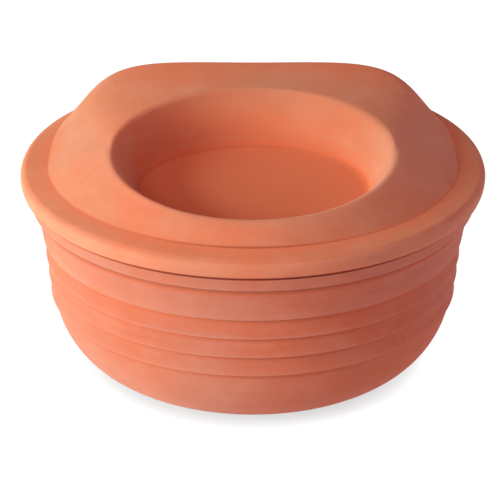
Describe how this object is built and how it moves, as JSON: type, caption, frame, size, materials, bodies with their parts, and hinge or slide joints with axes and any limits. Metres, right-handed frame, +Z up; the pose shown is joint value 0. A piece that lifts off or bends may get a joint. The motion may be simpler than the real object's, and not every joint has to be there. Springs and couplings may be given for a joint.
{
  "type": "clay roaster",
  "caption": "Oval earthenware roaster: a ribbed pot with a rounded bowl and a flat foot, and a loose lid with a dished well and a raised shoulder along one long side.",
  "frame": {"origin": "middle of the pot's foot, on the surface it stands on", "axes": "+X along the oval's length, +Y towards the lid's raised shoulder, +Z up"},
  "size_m": [0.34, 0.252, 0.2033],
  "materials": {
    "clay_pot": "unglazed fired clay, matt",
    "clay_lid": "unglazed fired clay, matt"
  },
  "bodies": {
    "pot": {"pot": "clay_pot"},
    "lid": {"lid": "clay_lid"}
  },
  "joints": [
    {"name": "lid_lift", "type": "slide", "parent": "pot", "child": "lid", "axis": [0, 0, 1], "range_m": [0, 0.15]}
  ]
}
